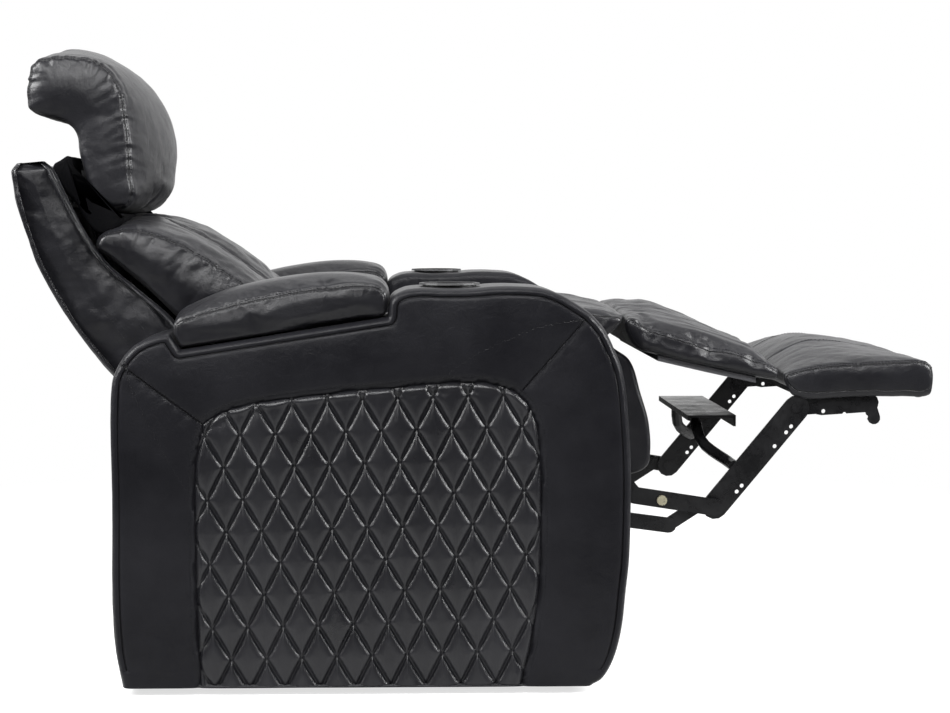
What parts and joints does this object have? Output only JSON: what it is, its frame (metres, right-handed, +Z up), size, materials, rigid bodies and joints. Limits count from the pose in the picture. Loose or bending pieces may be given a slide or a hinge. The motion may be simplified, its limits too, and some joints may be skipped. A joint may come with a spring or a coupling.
{
  "type": "power recliner cinema seat",
  "caption": "Single reclining cinema seat with wide padded arms, quilted outer panels, cup holders, storage under hinged arm pads, powered folding footrest, reclining back and tilting headrest.",
  "frame": {"origin": "middle of the footprint of the whole seat, footrest out and back reclined, at floor level", "axes": "+X the way the sitter faces, +Y to the sitter's left, +Z up"},
  "size_m": [1.5212, 0.87, 1.0388],
  "materials": {
    "black_leather": "soft satin grained leather",
    "lining_cloth": "matt woven lining",
    "black_steel": "satin black powder coat",
    "black_plastic": "matt moulded black",
    "bright_steel": "bright plated",
    "zinc_steel": "yellow zinc plated"
  },
  "bodies": {
    "base": {"arm_right": "black_leather", "arm_left": "black_leather", "quilted_panel_right": "black_leather", "quilted_panel_left": "black_leather", "storage_bin_right": "black_plastic", "storage_bin_left": "black_plastic", "cup_holder_right": "black_plastic", "cup_holder_left": "black_plastic", "base_rail_right": "black_steel", "base_rail_left": "black_steel", "floor_glide_front_right": "black_plastic", "floor_glide_rear_right": "black_plastic", "floor_glide_front_left": "black_plastic", "floor_glide_rear_left": "black_plastic", "base_tube_front": "black_steel", "base_tube_rear": "black_steel", "rear_panel": "black_leather", "seat_drive": "black_plastic", "power_supply": "black_plastic", "control_panel": "black_plastic"},
    "button_open": {"button_open": "bright_steel"},
    "button_close": {"button_close": "bright_steel"},
    "button_back_up": {"button_back_up": "bright_steel"},
    "button_back_down": {"button_back_down": "bright_steel"},
    "arm_lid_right": {"arm_lid_right": "black_leather"},
    "arm_lid_left": {"arm_lid_left": "black_leather"},
    "carriage": {"seat_side_plate_right": "black_steel", "seat_side_plate_left": "black_steel", "seat_tube_middle": "black_steel", "seat_tube_low": "black_steel", "seat_drive_rod": "bright_steel", "seat_deck": "black_steel", "seat_cushion": "black_leather"},
    "apron": {"front_apron": "black_leather"},
    "calf_rest": {"calf_pad": "black_leather", "calf_board": "lining_cloth"},
    "ottoman": {"ottoman_pad": "black_leather", "ottoman_board": "lining_cloth", "ottoman_bracket_right": "black_steel", "ottoman_bracket_left": "black_steel"},
    "long_links": {"long_link_right": "black_steel", "long_link_left": "black_steel", "footrest_cross_tube": "black_steel", "footrest_plate": "black_steel"},
    "drive_links": {"drive_link_right": "black_steel", "drive_link_left": "black_steel", "shoulder_bolt": "zinc_steel"},
    "short_links": {"short_link_right": "black_steel", "short_link_left": "black_steel"},
    "lower_links": {"lower_link_right": "black_steel", "lower_link_left": "black_steel"},
    "back": {"back_shell": "black_leather", "back_cushion": "black_leather", "neck_panel": "lining_cloth", "back_frame": "black_steel"},
    "headrest": {"headrest_pad": "black_leather", "headrest_bracket": "black_steel"},
    "back_drive": {"back_drive": "black_plastic"},
    "back_rod": {"back_drive_rod": "bright_steel"}
  },
  "joints": [
    {"name": "seat_glide", "type": "slide", "parent": "base", "child": "carriage", "axis": [1, 0, 0], "range_m": [-0.09, 0]},
    {"name": "apron_slide", "type": "slide", "parent": "carriage", "child": "apron", "axis": [1, 0, 0], "range_m": [-0.076, 0]},
    {"name": "calf_fold", "type": "hinge", "parent": "carriage", "child": "calf_rest", "pos_m": [0.25035, 0, 0.584], "axis": [0, 1, 0], "range_deg": [0, 61.9]},
    {"name": "ottoman_fold", "type": "hinge", "parent": "calf_rest", "child": "ottoman", "pos_m": [0.50935, 0, 0.488], "axis": [0, 1, 0], "range_deg": [0, 20.6]},
    {"name": "long_link_turn", "type": "hinge", "parent": "ottoman", "child": "long_links", "pos_m": [0.53335, 0, 0.432], "axis": [0, 1, 0], "range_deg": [-78.2, 0]},
    {"name": "drive_link_turn", "type": "hinge", "parent": "carriage", "child": "drive_links", "pos_m": [0.13035, 0, 0.442], "axis": [0, 1, 0], "range_deg": [0, 64.7]},
    {"name": "lower_link_turn", "type": "hinge", "parent": "carriage", "child": "lower_links", "pos_m": [0.07635, 0, 0.407], "axis": [0, 1, 0], "range_deg": [0, 64.7]},
    {"name": "short_link_turn", "type": "hinge", "parent": "drive_links", "child": "short_links", "pos_m": [0.37335, 0, 0.274], "axis": [0, 1, 0], "range_deg": [-64.7, 0]},
    {"name": "back_recline", "type": "hinge", "parent": "carriage", "child": "back", "pos_m": [-0.37165, 0, 0.442], "axis": [0, 1, 0], "range_deg": [0, 32]},
    {"name": "back_drive_swing", "type": "hinge", "parent": "carriage", "child": "back_drive", "pos_m": [-0.05665, 0, 0.342], "axis": [0, 1, 0], "range_deg": [0, 3.1]},
    {"name": "back_rod_slide", "type": "slide", "parent": "back_drive", "child": "back_rod", "axis": [-0.9995, 0, 0.0303], "range_m": [0, 0.0467]},
    {"name": "headrest_tilt", "type": "hinge", "parent": "back", "child": "headrest", "pos_m": [-0.66065, 0, 0.802], "axis": [0, 1, 0], "range_deg": [-28, 0]},
    {"name": "arm_lid_right_open", "type": "hinge", "parent": "base", "child": "arm_lid_right", "pos_m": [-0.49465, 0, 0.57317], "axis": [0, -1, 0], "range_deg": [0, 75]},
    {"name": "arm_lid_left_open", "type": "hinge", "parent": "base", "child": "arm_lid_left", "pos_m": [-0.49465, 0, 0.57317], "axis": [0, -1, 0], "range_deg": [0, 75]},
    {"name": "button_open_press", "type": "slide", "parent": "base", "child": "button_open", "axis": [0, -1, 0], "range_m": [0, 0.002], "stiffness_N_per_m": 300},
    {"name": "button_close_press", "type": "slide", "parent": "base", "child": "button_close", "axis": [0, -1, 0], "range_m": [0, 0.002], "stiffness_N_per_m": 300},
    {"name": "button_back_up_press", "type": "slide", "parent": "base", "child": "button_back_up", "axis": [0, -1, 0], "range_m": [0, 0.002], "stiffness_N_per_m": 300},
    {"name": "button_back_down_press", "type": "slide", "parent": "base", "child": "button_back_down", "axis": [0, -1, 0], "range_m": [0, 0.002], "stiffness_N_per_m": 300}
  ],
  "couplings": [
    {"joint": "apron_slide", "follows": "seat_glide", "ratio": 0.8444},
    {"joint": "calf_fold", "follows": "seat_glide", "rad_per_m": -11.985},
    {"joint": "ottoman_fold", "follows": "seat_glide", "rad_per_m": -3.9754},
    {"joint": "long_link_turn", "follows": "seat_glide", "rad_per_m": 15.146},
    {"joint": "drive_link_turn", "follows": "seat_glide", "rad_per_m": -12.528},
    {"joint": "lower_link_turn", "follows": "seat_glide", "rad_per_m": -12.528},
    {"joint": "short_link_turn", "follows": "seat_glide", "rad_per_m": 12.528},
    {"joint": "back_drive_swing", "follows": "back_recline", "ratio": 0.0959},
    {"joint": "back_rod_slide", "follows": "back_recline", "m_per_rad": 0.0834}
  ]
}
